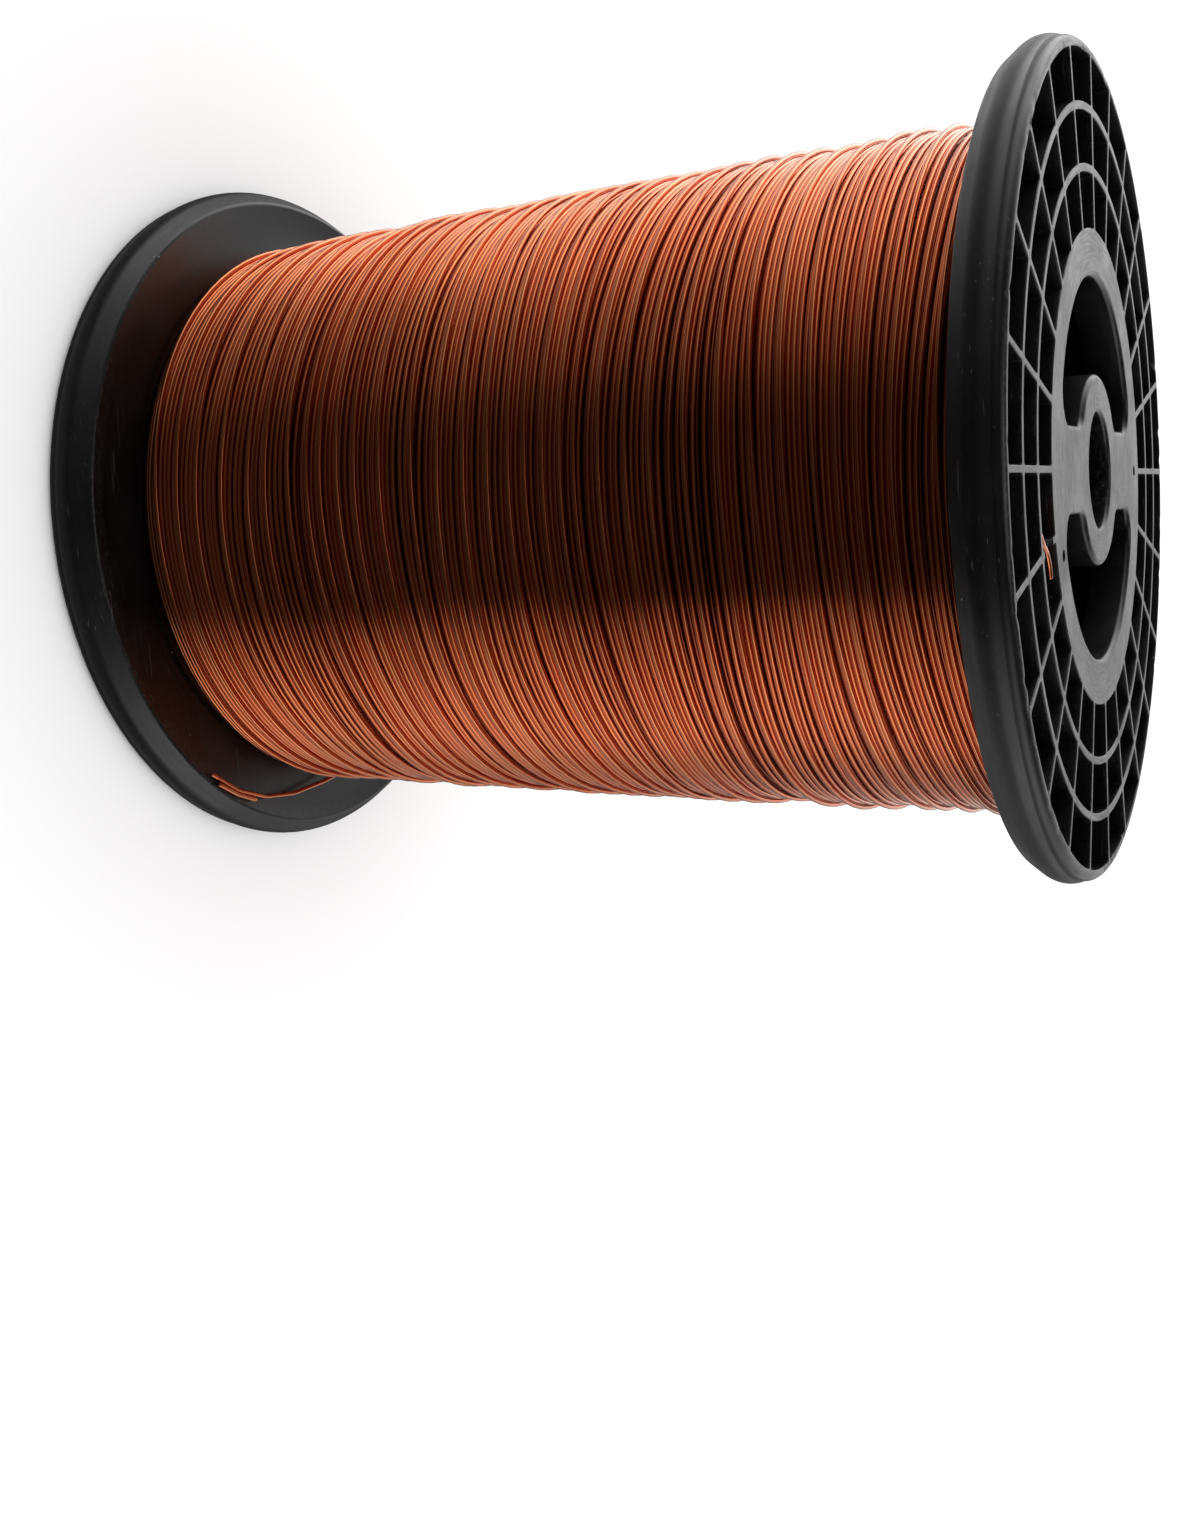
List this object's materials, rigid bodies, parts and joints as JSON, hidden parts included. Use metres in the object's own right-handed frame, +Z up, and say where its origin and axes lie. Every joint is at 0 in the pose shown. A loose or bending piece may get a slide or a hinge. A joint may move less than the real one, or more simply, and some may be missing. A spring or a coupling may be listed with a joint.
{
  "type": "wire spool",
  "caption": "Taper-barrelled delivery spool with ribbed flanges and a spindle bore, wound full with enamelled copper winding wire.",
  "frame": {"origin": "centre of the bottom flange's outer plane, on the spool axis", "axes": "+Z up along the spool axis to the larger flange; +X through the middle of one hand opening; +Y through one spoke"},
  "size_m": [0.23, 0.23, 0.28],
  "materials": {
    "flange_plastic": "black moulded plastic, satin with fine scuffs",
    "barrel_plastic": "black moulded plastic",
    "enamelled_copper": "copper under clear amber enamel, glossy"
  },
  "bodies": {
    "root": {"top_flange": "flange_plastic", "bottom_flange": "flange_plastic", "barrel": "barrel_plastic", "centre_tube": "barrel_plastic", "inner_winding": "enamelled_copper", "outer_winding": "enamelled_copper", "start_lead": "enamelled_copper", "finish_lead": "enamelled_copper"}
  },
  "joints": []
}
